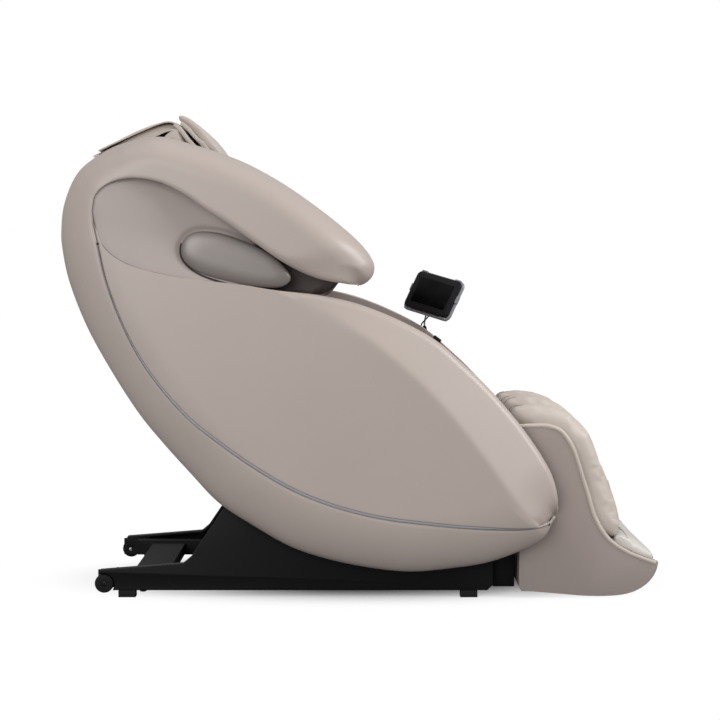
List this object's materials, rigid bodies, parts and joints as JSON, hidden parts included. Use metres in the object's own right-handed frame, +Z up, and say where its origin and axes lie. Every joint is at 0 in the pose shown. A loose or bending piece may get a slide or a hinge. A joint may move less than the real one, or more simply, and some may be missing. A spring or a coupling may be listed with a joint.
{
  "type": "reclining massage chair",
  "caption": "Reclining massage chair with a domed side-shell seat on a sliding base, a lifting leg rest, a massage carriage in the back and a tablet remote.",
  "frame": {"origin": "on the floor, under the centre of the chair's bounding box at rest", "axes": "+X the way the sitter faces, +Y to the sitter's left, +Z up"},
  "size_m": [1.5062, 0.78, 1.2361],
  "materials": {
    "shell": "satin taupe paint on moulded plastic",
    "dish": "soft-touch taupe plastic",
    "speaker": "silver-taupe satin metal",
    "light_strip": "clear grey light guide",
    "black_steel": "black powder coat",
    "steel": "zinc-plated steel",
    "black_plastic": "textured black plastic",
    "rubber": "black rubber",
    "dark_lining": "dark brown lining",
    "leather_dark": "dark brown leatherette",
    "leather_light": "beige leatherette",
    "leather_shell": "satin taupe moulding",
    "screen": "black glass touch screen"
  },
  "bodies": {
    "base": {"base_frame": "black_steel", "base_covers": "black_plastic", "base_front_cover": "black_plastic", "base_feet": "rubber", "wheel_axles": "steel", "slide_rails": "steel", "rail_bolts": "steel", "power_box": "black_plastic"},
    "wheel_left": {"transport_wheel_left": "rubber"},
    "wheel_right": {"transport_wheel_right": "rubber"},
    "power_rocker": {"power_switch": "black_plastic"},
    "carriage": {"seat_carriage": "black_steel", "glide_blocks": "black_plastic", "tilt_pins": "steel"},
    "tilt_motor": {"tilt_actuator_body": "black_plastic"},
    "tilt_ram": {"tilt_actuator_rod": "steel"},
    "pod": {"pod_frame": "black_steel", "pod_pins": "steel", "outer_shell_left": "shell", "outer_shell_right": "shell", "arm_panel_left": "shell", "arm_panel_right": "shell", "light_strips": "light_strip", "dish_panels": "dish", "speaker_pods": "speaker", "back_cover": "shell", "rear_skirt": "black_plastic", "arm_liners": "dark_lining", "armrest_pads": "leather_dark", "shoulder_pads": "leather_dark", "seat_cushion": "leather_light", "back_cushion": "leather_light", "head_pillow": "leather_light", "pillow_flap": "leather_light", "massage_tracks": "steel", "stalk_socket": "black_plastic"},
    "leg_motor": {"leg_actuator_body": "black_plastic"},
    "leg_ram": {"leg_actuator_rod": "steel"},
    "leg_lift": {"leg_frame": "black_steel"},
    "leg_rest": {"leg_shell": "leather_shell", "leg_edging": "leather_light", "leg_sliders": "black_plastic", "calf_pads": "leather_light", "calf_well_pads": "leather_dark", "toe_pad": "leather_light", "leg_foot_pad": "rubber"},
    "roller_rear": {"foot_roller_rear": "rubber"},
    "roller_front": {"foot_roller_front": "rubber"},
    "massage": {"massage_carriage": "black_plastic", "knead_shaft": "steel", "massage_motor": "black_steel"},
    "knead_left": {"kneading_arm_left": "black_plastic", "massage_rollers_left": "rubber"},
    "knead_right": {"kneading_arm_right": "black_plastic", "massage_rollers_right": "rubber"},
    "stalk": {"tablet_stalk": "steel"},
    "tablet_tilt": {"tablet_holder": "black_plastic", "tablet": "screen"},
    "dial": {"arm_dial": "black_plastic"}
  },
  "joints": [
    {"name": "wheel_left_spin", "type": "hinge", "parent": "base", "child": "wheel_left", "pos_m": [-0.6592, 0.261, 0.034], "axis": [0, 1, 0], "continuous": true},
    {"name": "wheel_right_spin", "type": "hinge", "parent": "base", "child": "wheel_right", "pos_m": [-0.6592, -0.261, 0.034], "axis": [0, 1, 0], "continuous": true},
    {"name": "power_switch_rock", "type": "hinge", "parent": "base", "child": "power_rocker", "pos_m": [-0.3872, 0.04, 0.087], "axis": [0, 1, 0], "range_deg": [-7, 7]},
    {"name": "carriage_slide", "type": "slide", "parent": "base", "child": "carriage", "axis": [1, 0, 0], "range_m": [0, 0.12]},
    {"name": "recline", "type": "hinge", "parent": "carriage", "child": "pod", "pos_m": [-0.1252, 0, 0.25], "axis": [0, -1, 0], "range_deg": [0, 28]},
    {"name": "tilt_motor_swing", "type": "hinge", "parent": "carriage", "child": "tilt_motor", "pos_m": [0.0048, 0.11, 0.15], "axis": [0, -1, 0], "range_deg": [0, 29.7]},
    {"name": "tilt_ram_slide", "type": "slide", "parent": "tilt_motor", "child": "tilt_ram", "axis": [0.8333, 0, 0.5528], "range_m": [0, 0.081]},
    {"name": "leg_raise", "type": "hinge", "parent": "pod", "child": "leg_lift", "pos_m": [0.3318, 0, 0.44], "axis": [0, -1, 0], "range_deg": [0, 85]},
    {"name": "leg_extend", "type": "slide", "parent": "leg_lift", "child": "leg_rest", "axis": [0, 0, -1], "range_m": [0, 0.15]},
    {"name": "leg_motor_swing", "type": "hinge", "parent": "pod", "child": "leg_motor", "pos_m": [-0.0152, 0, 0.15], "axis": [0, -1, 0], "range_deg": [0, 3.3]},
    {"name": "leg_ram_slide", "type": "slide", "parent": "leg_motor", "child": "leg_ram", "axis": [0.9145, 0, 0.4046], "range_m": [0, 0.204]},
    {"name": "roller_rear_spin", "type": "hinge", "parent": "leg_rest", "child": "roller_rear", "pos_m": [0.4748, 0, 0.084], "axis": [0, 1, 0], "continuous": true},
    {"name": "roller_front_spin", "type": "hinge", "parent": "leg_rest", "child": "roller_front", "pos_m": [0.5748, 0, 0.084], "axis": [0, 1, 0], "continuous": true},
    {"name": "massage_climb", "type": "slide", "parent": "pod", "child": "massage", "axis": [-0.3746, 0, 0.9272], "range_m": [0, 0.45]},
    {"name": "knead_left_rock", "type": "hinge", "parent": "massage", "child": "knead_left", "pos_m": [-0.32627, 0.066, 0.4967], "axis": [0, 1, 0], "range_deg": [-10, 10]},
    {"name": "knead_right_rock", "type": "hinge", "parent": "massage", "child": "knead_right", "pos_m": [-0.32627, -0.066, 0.4967], "axis": [0, 1, 0], "range_deg": [-10, 10]},
    {"name": "stalk_swivel", "type": "hinge", "parent": "pod", "child": "stalk", "pos_m": [0.1778, 0.328, 0.67], "axis": [0, 0, 1], "range_deg": [-40, 40]},
    {"name": "tablet_nod", "type": "hinge", "parent": "stalk", "child": "tablet_tilt", "pos_m": [0.19805, 0.30834, 0.72169], "axis": [0.7801, -0.5831, -0.227], "range_deg": [-15, 15]},
    {"name": "dial_turn", "type": "hinge", "parent": "pod", "child": "dial", "pos_m": [0.2098, 0.282, 0.627], "axis": [0.6, 0, 0.8], "range_deg": [-135, 135]}
  ],
  "couplings": [
    {"joint": "carriage_slide", "follows": "recline", "m_per_rad": 0.24555},
    {"joint": "tilt_motor_swing", "follows": "recline", "ratio": 1.0429},
    {"joint": "tilt_ram_slide", "follows": "recline", "m_per_rad": 0.16194},
    {"joint": "leg_motor_swing", "follows": "leg_raise", "ratio": 0.037369},
    {"joint": "leg_ram_slide", "follows": "leg_raise", "m_per_rad": 0.13587},
    {"joint": "knead_left_rock", "follows": "knead_right_rock", "ratio": -1}
  ]
}
